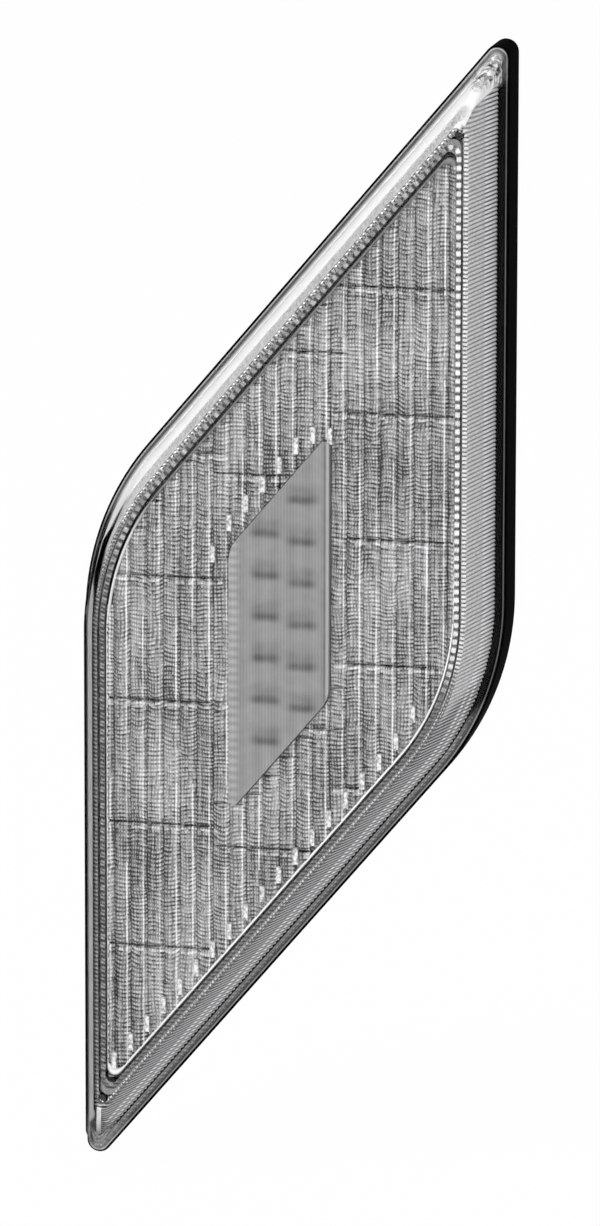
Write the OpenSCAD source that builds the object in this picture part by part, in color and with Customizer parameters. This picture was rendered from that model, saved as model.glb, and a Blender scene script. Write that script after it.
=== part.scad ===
// Vehicle indicator lamp: a tall slanted light unit with a clear cover, a ribbed bezel, a fluted
// reflector and twelve light diodes behind a frosted window. Every length is in millimetres.
// The lamp stands as fitted on the vehicle: it faces -Y, +Z is up, and the origin is the middle
// of the mounting face. Modules draw in the front view, with x across, y up and z out of the
// mounting face, and as_fitted() turns that view upright.

/* [Lamp outline] */
// Width across the two upright sides
lamp_w = 102; // [98:1:106]
// Height over the two pointed corners
lamp_h = 273; // [268:0.5:279]
// Angle of the sloping ends from the horizontal
end_angle = 50.1; // [49.5:0.1:50.8]
// Radius of the two pointed corners
tip_r = 3; // [2.6:0.1:3.4]
// Radius of the two wide corners
bend_r = 66; // [62:1:70]

/* [Depths] */
// Height of the housing rim above the mounting face
housing_depth = 11.4; // [11.2:0.1:12.4]
// Rise of the clear cover above the housing rim
cover_rise = 19; // [18.5:0.1:20]
// Thickness of the gasket, and so the gap behind the back wall
gasket_thick = 1.5; // [1.2:0.1:1.7]
// Thickness of the housing's back wall
back_wall = 2.2; // [2:0.1:2.4]

/* [Rim] */
// Thickness of the clear cover at its front and rim
cover_wall = 1.6; // [1.5:0.1:1.8]
// Thickness of the cover's edge flange
flange_thick = 0.9; // [0.8:0.1:1.2]
// Step from the housing's side to the cover's flange
cover_reveal = 0.3; // [0.2:0.1:0.5]
// Inward lean of the cover's side from its flange to its front
cover_lean = 3.5; // [3.3:0.1:3.6]
// Radius of the cover's front edge
cover_round = 2.2; // [1.8:0.1:2.4]
// Inward lean of the bezel's skirt
bezel_lean = 3.4; // [3.2:0.1:3.5]
// Thickness of the bezel's skirt
bezel_wall = 1.2; // [1:0.1:1.3]
// Width of the flat strips round the reflector
strip_w = 1.1; // [1:0.1:1.3]

/* [Reflector] */
// Depth of the fluted floor below the strips
floor_recess = 2.2; // [2.1:0.1:2.6]
// Thickness of the reflector's floor
floor_wall = 1.4; // [1.2:0.1:1.6]
// Height of each flute over its valleys
flute_rise = 0.8; // [0.6:0.1:1]
// Distance between the cross steps in the flutes
step_pitch = 30; // [28:0.5:32]
// Gap that each cross step leaves in the flutes
step_gap = 0.8; // [0.6:0.1:1.2]

/* [Window] */
// Width of the frosted window
window_w = 24.1; // [23.5:0.1:24.7]
// Height of the frosted window over its pointed corners
window_h = 88.5; // [87:0.5:90]
// Height of the window's face above the reflector's floor
window_rise = 1.8; // [1.5:0.1:1.9]
// Wall thickness of the window
window_wall = 1.5; // [1.3:0.1:1.6]

/* [Board] */
// Thickness of the circuit board
board_thick = 1.6; // [1.4:0.1:1.8]
// Height of the board above the housing's back wall
board_gap = 3; // [2.6:0.1:3.2]
// Width of the circuit board
board_w = 48; // [47:0.5:50]
// Distance between the two columns of diodes
led_columns = 9; // [9:0.1:9.6]
// Width of a diode's square body
led_size = 3.5; // [3.2:0.1:3.6]

/* [Fixing] */
// Diameter of a threaded insert
insert_d = 7; // [6.6:0.1:7.4]
// Length of a threaded insert
insert_len = 8; // [7:0.5:8]
// Diameter of the insert's threaded bore, for an M5 screw
thread_d = 4.2; // [4.1:0.05:4.3]
// Diameter of the locating pegs
peg_d = 5; // [4.5:0.1:5.5]
// Length of the locating pegs behind the mounting face
peg_len = 5; // [4:0.5:6]
// Inset of the gasket's inner edge from the lamp's outline
gasket_in = 6.9; // [6.4:0.1:6.9]

/* [Connector] */
// Inner width of the connector socket
socket_w = 10; // [9.8:0.1:11]
// Inner height of the connector socket
socket_h = 17; // [16.5:0.5:18]
// Depth of the connector socket behind the mounting face
socket_depth = 16; // [15:0.5:18]
// Wall thickness of the connector socket
socket_wall = 1.6; // [1.4:0.1:1.8]
// Width of a contact blade
blade_w = 2.8; // [2.6:0.1:3]
// Thickness of a contact blade
blade_t = 0.8; // [0.7:0.05:0.9]

/* [Clearances] */
// Free gap between parts that slide together
fit_gap = 0.2; // [0.1:0.05:0.25]
// Gap between the cover's inside and the strips below it
front_gap = 0.3; // [0.2:0.05:0.4]

/* [Hidden] */
LEDS = 12;
RESISTORS = 4;
BLADES = 3;
function numbered(name, count) = [for (i = [1 : count]) str(name, "_", i)];
$fn = 48;

// Points on each pointed and each wide corner, and rings on each rounded edge
tip_steps = 10;
bend_steps = 20;
round_steps = 5;
// Overlap that joins one solid to the next
sink = 0.2;
inner_tip_r = 1.6;

// Half distances from the middle to the upright sides and to the sloping ends
sin_e = sin(end_angle);
cos_e = cos(end_angle);
corner_gain = (1 + sin_e) / cos_e;
half_w = lamp_w / 2;
half_e = half_ends(lamp_h, half_w, tip_r);

// Insets from the lamp's outline
gasket_out = 1.5;
groove_out = 1.3;
tongue_out = groove_out + fit_gap / 2;
cover_in = 0.9 + cover_wall;
groove_in = cover_in + fit_gap / 2;
bezel_out = cover_in + fit_gap;
bezel_strip = bezel_out + bezel_lean;
bezel_in = bezel_strip + strip_w;
bezel_ledge = 0.8;
bezel_round = 0.5;
strips_gap = 0.6;
reflector_out = bezel_in + strips_gap;
panel_in = reflector_out + strip_w;
floor_out = bezel_in - bezel_ledge + fit_gap;
side_wall = 2.4;
lip_in = bezel_out + bezel_wall + 0.3;

// Heights above the mounting face
back_out = gasket_thick;
back_in = back_out + back_wall;
rim = housing_depth;
groove_floor = rim - 3.4;
tongue_end = rim - 2.6;
lip_floor = groove_floor - 1;
cover_top = rim + cover_rise;
cover_under = cover_top - cover_wall;
strip_top = cover_under - front_gap;
floor_top = strip_top - floor_recess;
floor_under = floor_top - floor_wall;
board_under = back_in + board_gap;
board_top = board_under + board_thick;
window_top = floor_top + window_rise;
window_flange = floor_under - 1.3;

// Flutes across the reflector's floor
window_flutes = 6;
panel_w = half_w - panel_in;
panel_e = half_e - panel_in;
wall_gap = 0.4;
flutes_end = panel_w - wall_gap;
flute_pitch = window_w / window_flutes;
half_count = ceil(flutes_end / flute_pitch);
flute_foot = 0.15;
flute_r = (flute_pitch * flute_pitch / 4 + flute_rise * flute_rise) / (2 * flute_rise);
// Height of the first cross step left of, beside and right of the window
step_shifts = [10, 5.4, 21.4];
end_rib_w = 1.2;
end_rib_long = 3.9;
end_rib_drop = 1.5;
end_rib_rise = 1.4;

// Window, and the block and board behind it
window_tip = 1.2;
window_bend = 8;
half_ww = window_w / 2;
half_we = half_ends(window_h, half_ww, window_tip);
window_foot = 1.4;
led_rows = LEDS / 2;
led_stagger = 8.6;
led_body = 0.9;
led_dome_r = 1.4;
// The cups fill the window's height: the outermost mouths end a small gap inside its slope
cup_gap = 0.88;
cup_share = 0.423;
led_pitch =
    ((half_we + led_columns / 2 * sin_e - cup_gap) / cos_e - led_stagger / 2)
    / ((led_rows - 1) / 2 + cup_share / cos_e);
cup_foot_r = led_size * 0.71 + 0.3;
cup_mouth_r = cup_share * led_pitch;

// Fixings on the back, as far apart as the gasket lets their bosses stand
boss_gap = 0.1;
fix_boss_r = insert_d / 2 + 2.4;
fix_boss_top = insert_len + 1.6;
fix_y = floor((half_e - gasket_in - fix_boss_r - boss_gap) / cos_e);
peg_x = 30;
peg_past = 24;
peg_at = [peg_x, fix_y + peg_past];
peg_lead = 1;
peg_taper = 1.6;

// Board between the two fixings
board_clear = 3.7;
half_bw = board_w / 2;
half_be = fix_y * cos_e - fix_boss_r - board_clear;
board_tip = 2;
board_bend = 8;

// Board screws and their bosses, in the board's side strips
screw_side = 5;
screw_low = 16;
screw_high = 12;
screw_x = half_bw - screw_side;
screw_ys = [screw_low - board_edge(-screw_x), board_edge(screw_x) - screw_high];
screw_r = 1.45;
screw_head_r = 2.8;
screw_head = 1.6;
screw_len = board_thick + board_gap + 1.2;
boss_r = 3.2;

// Parts in the board's side strips, as shares of the way from the lower to the upper screw
driver_share = 0.3;
driver_body = [4, 5, 1.5];
leg_pitch = 1.27;
surge_share = 0.263;
surge_body = [2.6, 4.2, 2];
resistor_share = 0.825;
resistor_body = [1.6, 2.4, 0.55];
resistor_pitch = 4.2;
stand_off = 0.1;

// Posts under the reflector's floor
post_r = 2.6;
post_side = 6;
post_low_in = 17.2;
post_high_in = 14.2;
post_x = panel_w - post_side;
post_low = post_low_in - panel_edge(-post_x);
post_high = panel_edge(post_x) - post_high_in;
post_ys = [post_low, (post_low + post_high) / 2, post_high];
mid_post_x = 14;
mid_post = [mid_post_x, 4.6 - panel_edge(-mid_post_x)];
stiffener_w = 1.5;
stiffener_rise = 2;

// Connector, with a catch on its side for the plug's latch, and the vent above it
socket_at = [-18, -fix_y / 2];
socket_round = 1;
catch_size = [1.6, 5, 2.2];
catch_inset = 3;
blade_pitch = 4.5;
blade_end = socket_depth - 5;
blade_lap = 0.6;
tail_w = 1;
tail_end = 0.9;
vent_r = 4.5;
vent_gap = 5;
vent_at = socket_at + [0, socket_h / 2 + socket_wall + vent_gap + vent_r + 1.4];
vent_hole_r = 1.5;
vent_wall = 1.2;
vent_end = -1.2;
membrane_thick = 0.4;
cap_wall = 1.2;
cap_slot = [2.8, 1.2, 3];

led_colour = "gold";
trace_colour = "dimgray";

// Half distance to the sloping ends of a slanted shape that is h high over its rounded tips
function half_ends(h, w, tip) = (h / 2 + tip * (corner_gain - 1)) * cos_e - w * sin_e;

// Corner of a slanted shape: side 1 is the pointed upper right, side -1 the wide upper left
function corner(side, w, e) = [side * w, (e + side * w * sin_e) / cos_e];

function arc(centre, r, from, to, steps) = [
    for (i = [0 : steps])
        let (turn = from + (to - from) * i / steps)
            centre + r * [cos(turn), sin(turn)]
];

// Outline of a slanted shape, with upright sides at w and sloping ends at e from the middle
function slant(w, e, tip, bend) =
    let (
        tip_arc = arc(corner(1, w - tip, e - tip), tip, 0, 90 + end_angle, tip_steps),
        bend_arc = arc(corner(-1, w - bend, e - bend), bend, 90 + end_angle, 180, bend_steps),
        upper = concat(tip_arc, bend_arc)
    )
        concat(upper, -upper);

// The lamp's outline moved inwards
function ring(inset) =
    slant(half_w - inset, half_e - inset, max(tip_r - inset, inner_tip_r), bend_r - inset);

// The window's outline moved outwards
function window_ring(grow) = slant(half_ww + grow, half_we + grow, window_tip, window_bend + grow);

// Height of a slanted shape's upper edge at x
function edge_y(x, w, e, tip, bend) =
    let (
        wide = corner(-1, w - bend, e - bend),
        point = corner(1, w - tip, e - tip)
    )
        x < wide[0] - bend * sin_e ? wide[1] + sqrt(max(bend * bend - pow(x - wide[0], 2), 0))
        : x > point[0] - tip * sin_e ? point[1] + sqrt(max(tip * tip - pow(x - point[0], 2), 0))
        : (e + x * sin_e) / cos_e;

function panel_edge(x) = edge_y(x, panel_w, panel_e, inner_tip_r, bend_r - panel_in);
function board_edge(x) = edge_y(x, half_bw, half_be, board_tip, board_bend);
function window_edge(x) =
    edge_y(max(-half_ww, min(half_ww - window_tip, x)), half_ww, half_we, window_tip, window_bend);

// Side that leans inwards and rounds over into its front, as insets and heights from the foot
function leaning(inset, foot, lean, top, r) =
    let (
        slope = atan2(top - foot, lean),
        centre = [inset + lean + r * tan(slope / 2), top - r]
    )
        concat(
            [[inset, foot]],
            [
                for (i = [0 : round_steps])
                    let (turn = slope * (1 - i / round_steps))
                        centre + r * [-sin(turn), cos(turn)]
            ]
        );
function reversed(list) = [for (i = [len(list) - 1 : -1 : 0]) list[i]];

module as_fitted() {
    rotate([90, 0, 0])
        children();
}

// Solid through rings of the lamp's outline, given as insets and heights. A closed one joins its
// last ring to its first, and an open one has a flat face at each end.
module ringed(profile, closed = false) {
    count = len(ring(0));
    last = len(profile) - 1;
    points = [for (p = profile) each [for (q = ring(p[0])) [q[0], q[1], p[1]]]];
    sides = [
        for (i = [0 : closed ? last : last - 1], j = [0 : count - 1])
            let (
                k = (j + 1) % count,
                next = (i + 1) % (last + 1)
            )
                [i * count + j, i * count + k, next * count + k, next * count + j]
    ];
    ends = [
        [for (j = [count - 1 : -1 : 0]) j],
        [for (j = [0 : count - 1]) last * count + j]
    ];
    polyhedron(points, closed ? sides : concat(sides, ends));
}

// Flat slab of the lamp's outline between two heights
module slab(inset, low, high) {
    translate([0, 0, low])
        linear_extrude(high - low)
            polygon(ring(inset));
}

module window_slab(grow, low, high) {
    translate([0, 0, low])
        linear_extrude(high - low)
            polygon(window_ring(grow));
}

// Upright wall that follows the lamp's outline
module wall(outside, inside, low, high) {
    difference() {
        slab(outside, low, high);
        slab(inside, low - 1, high + 1);
    }
}

module post(at, r, low, high) {
    translate([at[0], at[1], low])
        cylinder(r = r, h = high - low);
}

module block(at, size, low) {
    translate([at[0] - size[0] / 2, at[1] - size[1] / 2, low])
        cube(size);
}

// A thing drawn once and again half a turn round the middle
module twice() {
    children();
    rotate([0, 0, 180])
        children();
}

module round_rect(w, h, r) {
    square([w - 2 * r, h], center = true);
    square([w, h - 2 * r], center = true);
    for (x = [r - w / 2, w / 2 - r], y = [r - h / 2, h / 2 - r])
        translate([x, y])
            circle(r);
}

module socket_slab(grow, low, high) {
    translate([socket_at[0], socket_at[1], low])
        linear_extrude(high - low)
            round_rect(socket_w + 2 * grow, socket_h + 2 * grow, socket_round + grow);
}

function blade_at(i) = [socket_at[0], socket_at[1] + (i - (BLADES + 1) / 2) * blade_pitch];

// Black tray that carries everything, with the socket, pegs, posts and bosses moulded on
module rear_housing() {
    color("#1a1a1c")
        as_fitted()
            difference() {
                union() {
                    housing_shell();
                    housing_bosses();
                    housing_back();
                }
                housing_holes();
            }
}

module housing_shell() {
    difference() {
        slab(0, back_out, rim);
        slab(side_wall, back_in, lip_floor);
        slab(lip_in, lip_floor - 0.01, rim + 1);
        wall(groove_out, groove_in, groove_floor, rim + 1);
    }
}

module housing_bosses() {
    twice() {
        for (y = post_ys)
            post([post_x, y], post_r, back_in - sink, floor_under);
        post(mid_post, post_r, back_in - sink, floor_under);
        for (y = screw_ys)
            post([screw_x, y], boss_r, back_in - sink, board_under);
        post([0, fix_y], fix_boss_r, 0, fix_boss_top);
        stiffeners();
    }
}

// Low ribs that tie the posts together across the inside of the back wall
module stiffeners() {
    long = post_high - post_low;
    block([post_x, (post_low + post_high) / 2], [stiffener_w, long, stiffener_rise + sink],
        back_in - sink);
    block([post_x / 2, fix_y], [post_x, stiffener_w, stiffener_rise + sink], back_in - sink);
}

module housing_back() {
    twice()
        translate([peg_at[0], peg_at[1], -peg_len]) {
            translate([0, 0, peg_lead])
                cylinder(d = peg_d, h = peg_len - peg_lead + back_out + sink);
            cylinder(d1 = peg_d - peg_taper, d2 = peg_d, h = peg_lead);
        }
    socket_slab(socket_wall, -socket_depth, back_out + sink);
    block(socket_at - [socket_w / 2 + socket_wall, 0], catch_size, catch_inset - socket_depth);
    post(vent_at, vent_r, vent_end, back_out + sink);
}

module housing_holes() {
    socket_slab(0, -socket_depth - 1, back_out);
    for (i = [1 : BLADES])
        block(blade_at(i), [blade_t, blade_w, back_wall + 2], back_out - 1);
    twice() {
        post([0, fix_y], insert_d / 2, -1, insert_len);
        for (y = screw_ys)
            post([screw_x, y], screw_r, board_under - screw_len + board_thick, board_under + 1);
    }
    post(vent_at, vent_r - vent_wall, vent_end - 1, back_out);
    post(vent_at, vent_hole_r, back_out - 1, back_in + 1);
}

// Foam ring between the lamp and the vehicle's body
module mounting_gasket() {
    color("#232323")
        as_fitted()
            wall(gasket_out, gasket_in, 0, back_out);
}

// Brass insert with a blind threaded bore and a waist that grips the plastic
module insert(side) {
    color("goldenrod")
        as_fitted()
            translate([0, side * fix_y, 0])
                difference() {
                    cylinder(d = insert_d, h = insert_len);
                    translate([0, 0, -1])
                        cylinder(d = thread_d, h = insert_len);
                    translate([0, 0, insert_len * 0.4])
                        rotate_extrude()
                            translate([insert_d / 2 - 0.4, 0])
                                square([1, insert_len * 0.2]);
                }
}

module insert_upper() {
    insert(1);
}

module insert_lower() {
    insert(-1);
}

// Bead of sealant under the cover's tongue
module cover_seal() {
    color("#3a3a3a")
        as_fitted()
            wall(groove_out, groove_in, groove_floor, tongue_end);
}

// Clear cover: a tongue in the housing's groove, an edge flange, a rounded rim and a flat front
module outer_cover() {
    flange = rim + flange_thick;
    outside = leaning(cover_in - cover_wall, flange, cover_lean, cover_top, cover_round);
    inside = leaning(cover_in, rim, bezel_lean, cover_under, bezel_round + fit_gap);
    color("#e8eef0", 0.35)
        as_fitted()
            ringed(concat(
                reversed(inside),
                [[cover_in, tongue_end], [tongue_out, tongue_end], [tongue_out, rim],
                 [cover_reveal, rim], [cover_reveal, flange]],
                outside
            ));
}

// Ribbed frame that stands on the housing's lip and on the reflector's edge
module bezel() {
    outside = leaning(bezel_out, rim, bezel_lean, strip_top, bezel_round);
    color("#b9bcc0")
        as_fitted()
            ringed(concat(
                outside,
                [[bezel_in, strip_top], [bezel_in, floor_top], [bezel_in - bezel_ledge, floor_top],
                 [bezel_out + bezel_wall, rim]]
            ), true);
}

// Bright panel: a walled floor with upright flutes, on the housing's posts
module reflector() {
    color("#c4c6c8")
        as_fitted()
            difference() {
                union() {
                    slab(floor_out, floor_under, floor_top);
                    wall(reflector_out, panel_in, floor_top - sink, strip_top);
                    for (i = [-half_count : half_count - 1])
                        flute_column(i);
                }
                window_slab(fit_gap, floor_under - 1, floor_top + 3);
            }
}

// Band of a column: 0 left of the window, 1 beside or over it, 2 right of it
function band(x0, x1) = x1 < -half_ww - wall_gap ? 0 : x0 > half_ww + wall_gap ? 2 : 1;

// Spans of a column from its lower to its upper end, less the window
function column_spans(x0, x1) =
    let (
        high = min(panel_edge(x0), panel_edge(x1)) - wall_gap,
        low = wall_gap - min(panel_edge(-x0), panel_edge(-x1)),
        over = max(window_edge(x0), window_edge(x1)) + wall_gap,
        under = -max(window_edge(-x0), window_edge(-x1)) - wall_gap
    )
        band(x0, x1) == 1 ? [[low, under], [over, high]] : [[low, high]];

// Span cut at each cross step
function stepped(span, shift) =
    let (
        first = ceil((span[0] - shift) / step_pitch),
        last = floor((span[1] - shift) / step_pitch),
        cuts = [for (k = [first : 1 : last]) shift + k * step_pitch],
        marks = concat([span[0] - step_gap / 2], cuts, [span[1] + step_gap / 2])
    )
        [
            for (k = [0 : len(marks) - 2])
                if (marks[k + 1] - marks[k] > 3 * step_gap)
                    [marks[k] + step_gap / 2, marks[k + 1] - step_gap / 2]
        ];

// Column i counts from the middle, and the outermost ones are cut off by the panel's wall
module flute_column(i) {
    x0 = max(i * flute_pitch, -flutes_end);
    x1 = min((i + 1) * flute_pitch, flutes_end);
    for (span = column_spans(x0, x1)) {
        for (cut = stepped(span, step_shifts[band(x0, x1)]))
            flute((i + 0.5) * flute_pitch, x0, x1, cut[0], cut[1]);
        if (x0 > -flutes_end)
            end_rib(x0, span[0]);
    }
}

// One upright flute with a rounded face round its middle x, from x0 to x1
module flute(x, x0, x1, low, high) {
    translate([x, high, floor_top])
        rotate([90, 0, 0])
            linear_extrude(high - low)
                intersection() {
                    translate([0, flute_foot + flute_rise - flute_r])
                        circle(flute_r, $fn = 96);
                    translate([x0 - x, -sink])
                        square([x1 - x0, flute_r]);
                }
}

// Short proud rib on the line between two flutes, where the right one ends
module end_rib(x, end) {
    translate([x - end_rib_w / 2, end - end_rib_drop, floor_top - sink])
        cube([end_rib_w, end_rib_long, end_rib_rise + sink]);
}

// Frosted window: a box open at the back, held behind the floor by its flange
module window_diffuser() {
    color("#d5d8d8")
        as_fitted()
            difference() {
                union() {
                    window_slab(0, window_flange, window_top);
                    window_slab(window_foot, window_flange, floor_under);
                }
                window_slab(-window_wall, window_flange - 1, window_top - window_wall);
            }
}

function led_at(i) =
    let (
        side = i > led_rows ? 1 : -1,
        row = (i - 1) % led_rows - (led_rows - 1) / 2
    )
        [side * led_columns / 2, row * led_pitch + side * led_stagger / 2];

// Bright block with one tapered cup round each diode, clamped between board and window
module cup_block() {
    color("#c9cbcc")
        as_fitted()
            difference() {
                window_slab(window_foot, board_top, window_flange);
                for (i = [1 : LEDS])
                    cup(led_at(i));
            }
}

module cup(at) {
    depth = window_flange - board_top;
    slope = (cup_mouth_r - cup_foot_r) / depth;
    translate([at[0], at[1], board_top - 1])
        cylinder(r1 = cup_foot_r - slope, r2 = cup_mouth_r + slope, h = depth + 2);
}

// Board with holes for its screws and for the blades' tails
module circuit_board() {
    color("#e9e9e4")
        as_fitted()
            difference() {
                translate([0, 0, board_under])
                    linear_extrude(board_thick)
                        polygon(slant(half_bw, half_be, board_tip, board_bend));
                twice()
                    for (y = screw_ys)
                        post([screw_x, y], screw_r + fit_gap, board_under - 1, board_top + 1);
                for (i = [1 : BLADES])
                    block(blade_at(i), [blade_t + fit_gap, tail_w + fit_gap, board_thick + 2],
                        board_under - 1);
            }
}

// Four pan-head screws that hold the board
module board_screws() {
    color("silver")
        as_fitted()
            twice()
                for (y = screw_ys)
                    translate([screw_x, y, board_top])
                        board_screw();
}

module board_screw() {
    dome_r = (screw_head_r * screw_head_r + screw_head * screw_head) / (2 * screw_head);
    difference() {
        union() {
            translate([0, 0, -screw_len])
                cylinder(r = screw_r, h = screw_len + sink);
            intersection() {
                translate([0, 0, screw_head - dome_r])
                    sphere(dome_r);
                cylinder(r = screw_head_r + 1, h = screw_head + 1);
            }
        }
        for (turn = [0, 90])
            rotate([0, 0, turn])
                block([0, 0], [2.6, 0.6, 2], screw_head - 1);
    }
}

// Light diode: a square body with a clear dome
module led(i) {
    color(led_colour)
        as_fitted()
            translate([led_at(i)[0], led_at(i)[1], board_top]) {
                block([0, 0], [led_size, led_size, led_body], 0);
                intersection() {
                    translate([0, 0, led_body - 0.2])
                        sphere(led_dome_r);
                    block([0, 0], [led_size, led_size, 2 * led_dome_r], led_body - sink);
                }
            }
}

// Height in a side strip at a share of the way from the lower to the upper screw
function strip_y(share) = screw_ys[0] + share * (screw_ys[1] - screw_ys[0]);

// Driver: a flat body with four gull-wing legs on each side
module driver_chip() {
    foot = [1, 0.45, 0.2];
    shin = [0.4, 0.45, 0.9];
    edge = driver_body[0] / 2;
    color(trace_colour)
        as_fitted()
            translate([screw_x, strip_y(driver_share), board_top]) {
                block([0, 0], driver_body, stand_off);
                for (side = [-1, 1], k = [-1.5 : 1 : 1.5]) {
                    block([side * (edge + foot[0] / 2), k * leg_pitch], foot, 0);
                    block([side * (edge + stand_off), k * leg_pitch], shin, 0);
                }
            }
}

// Surge diode: a moulded body with a folded tab at each end
module surge_diode() {
    color(trace_colour)
        as_fitted()
            translate([-screw_x, -strip_y(surge_share), board_top]) {
                block([0, 0], surge_body, stand_off);
                for (side = [-1, 1])
                    block([0, side * (surge_body[1] / 2 + stand_off)], [1.5, 0.6, 1], 0);
            }
}

// Series resistors, one below the other in the board's right strip
module resistor(i) {
    color(trace_colour)
        as_fitted()
            translate([screw_x, strip_y(resistor_share) - (RESISTORS - i) * resistor_pitch, board_top]) {
                block([0, 0], resistor_body, 0);
                for (side = [-1, 1])
                    block([0, side * (resistor_body[1] / 2 + sink)],
                        [resistor_body[0], 2 * sink, resistor_body[2] + 0.05], 0);
            }
}

// Contact blade with a narrow tail through the board
module blade(i) {
    color("silver")
        as_fitted() {
            block(blade_at(i), [blade_t, blade_w, blade_end + back_in + blade_lap], -blade_end);
            block(blade_at(i), [blade_t, tail_w, board_top + tail_end - back_in], back_in);
        }
}

// Thin disc that lets the lamp breathe and keeps water out
module vent_membrane() {
    color("whitesmoke")
        as_fitted()
            post(vent_at, vent_r - vent_wall, back_out - membrane_thick, back_out);
}

// Slotted cap pressed over the vent's spigot
module vent_cap() {
    cap_r = vent_r + cap_wall;
    color("#2a2a2c")
        as_fitted()
            difference() {
                post(vent_at, cap_r, vent_end - cap_wall, back_out - membrane_thick);
                post(vent_at, vent_r, vent_end, back_out);
                for (turn = [0 : 60 : 300])
                    translate([vent_at[0], vent_at[1], 0])
                        rotate([0, 0, turn])
                            block([cap_r, 0], cap_slot, vent_end + cap_wall / 2);
            }
}

rear_housing();
mounting_gasket();
insert_upper();
insert_lower();
cover_seal();
outer_cover();
bezel();
reflector();
window_diffuser();
cup_block();
circuit_board();
board_screws();
driver_chip();
surge_diode();
vent_membrane();
vent_cap();
for (i = [1 : LEDS])
    led(i);
for (i = [1 : RESISTORS])
    resistor(i);
for (i = [1 : BLADES])
    blade(i);
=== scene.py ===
"""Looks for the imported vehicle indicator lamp: clear cover, ribbed bezel, pillowed reflector and studio."""

import math

import bmesh
import bpy
from bpy.props import FloatProperty, FloatVectorProperty
from mathutils import Matrix, Vector


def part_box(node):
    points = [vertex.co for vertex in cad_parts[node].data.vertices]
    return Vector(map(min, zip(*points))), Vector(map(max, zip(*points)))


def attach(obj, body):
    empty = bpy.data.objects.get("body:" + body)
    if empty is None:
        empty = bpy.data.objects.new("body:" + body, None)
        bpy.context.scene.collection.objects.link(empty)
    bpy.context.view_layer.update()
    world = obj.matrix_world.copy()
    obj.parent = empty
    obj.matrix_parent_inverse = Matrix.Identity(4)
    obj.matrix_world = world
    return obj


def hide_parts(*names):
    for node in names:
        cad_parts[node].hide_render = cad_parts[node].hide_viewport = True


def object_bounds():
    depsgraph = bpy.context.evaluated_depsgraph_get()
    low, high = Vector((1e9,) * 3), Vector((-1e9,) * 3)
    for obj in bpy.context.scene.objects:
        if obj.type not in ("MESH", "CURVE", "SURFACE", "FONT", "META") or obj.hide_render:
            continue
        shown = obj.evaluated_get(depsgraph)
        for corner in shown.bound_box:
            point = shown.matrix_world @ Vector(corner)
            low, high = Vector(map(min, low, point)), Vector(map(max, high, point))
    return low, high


bl_info = {
    "name": "Slanted Indicator Lamp",
    "version": (1, 0, 0),
    "blender": (4, 5, 0),
    "location": "View3D > Sidebar > Lamp",
    "description": "Builds the visible pieces and finishes of a slanted vehicle indicator lamp",
    "category": "Object",
}

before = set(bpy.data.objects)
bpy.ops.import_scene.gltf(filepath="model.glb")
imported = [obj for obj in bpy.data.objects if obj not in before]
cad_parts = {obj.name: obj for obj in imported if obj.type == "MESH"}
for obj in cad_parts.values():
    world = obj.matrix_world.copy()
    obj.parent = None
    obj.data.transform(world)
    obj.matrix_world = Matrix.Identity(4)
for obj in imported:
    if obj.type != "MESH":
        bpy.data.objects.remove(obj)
CAD_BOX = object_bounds()
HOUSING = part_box("rear_housing")
MM = 0.001

# Fixed sizes in millimetres
LEAST_TIP = 1.6  # smallest radius of a pointed corner
STRIP_GAP = 0.3  # between the cover and the beaded strips
COVER_INSET = 0.9  # from the outline to the foot of the cover's side
COVER_LEAN = 3.5  # inward lean of the cover's side
WINDOW_TIP = 1.2  # radius of the window's pointed corners
WINDOW_BEND = 8.0  # radius of its wide corners
GAP = 0.4  # round a column of the fluted panel

TIP_STEPS = 12
BEND_STEPS = 36
END_COS, END_SIN = 0.641, 0.767  # of the sloping ends' angle, as the finishes use them


class Millimetres:
    """The sidebar's sizes in millimetres and its angle in degrees, and the small sizes beside them."""

    floor_recess = 2.2  # reflector's floor below the strips
    bezel_lean = 3.4  # inward lean of the ribbed slope
    bead_pitch = 1.0  # length of one bead
    strip_shift = 0.6  # further inset of the bezel's strip on the sloping ends
    corner_radius = 1.8  # pointed corners of the strips and the panel
    diode_pitch = 10.0  # between two light diodes
    flute_rise = 0.8  # crown of a flute
    row_pitch = 2.0  # height of one pillow
    steps_left = 10.0  # height of one cross step left of the window
    steps_middle = 5.4  # above and below the window
    steps_right = 21.4  # right of the window

    def __getattr__(self, name):
        value = getattr(bpy.context.scene.lamp_sizes, name)
        return round(math.degrees(value) if name == "end_angle" else value / MM, 5)


def sizes():
    """The sizes to draw with."""
    return Millimetres()


def colours():
    """The colours to dress with."""
    return bpy.context.scene.lamp_colours


# Outline of the lamp, seen from the front: x to the right, y up, in millimetres


def fitted(x, y, height):
    """A point of the front drawing, height out of the mounting face, in the lamp's frame."""
    return Vector((x, -height, y)) * MM


def arc(centre, radius, start, end, steps):
    """Points round a centre, from one angle to another in degrees."""
    turns = [math.radians(start + (end - start) * i / steps) for i in range(steps + 1)]
    return [(centre[0] + radius * math.cos(t), centre[1] + radius * math.sin(t)) for t in turns]


def slanted(half_w, half_e, tip, bend, angle):
    """Outline with two upright sides and two sloping ends, from the right side round to the left."""
    cos_e = math.cos(math.radians(angle))
    sin_e = math.sin(math.radians(angle))

    def corner(side, w, e):
        return side * w, (e + side * w * sin_e) / cos_e

    upper = arc(corner(1, half_w - tip, half_e - tip), tip, 0, 90 + angle, TIP_STEPS)
    upper += arc(corner(-1, half_w - bend, half_e - bend), bend, 90 + angle, 180, BEND_STEPS)
    return upper + [(-x, -y) for x, y in upper]


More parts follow.
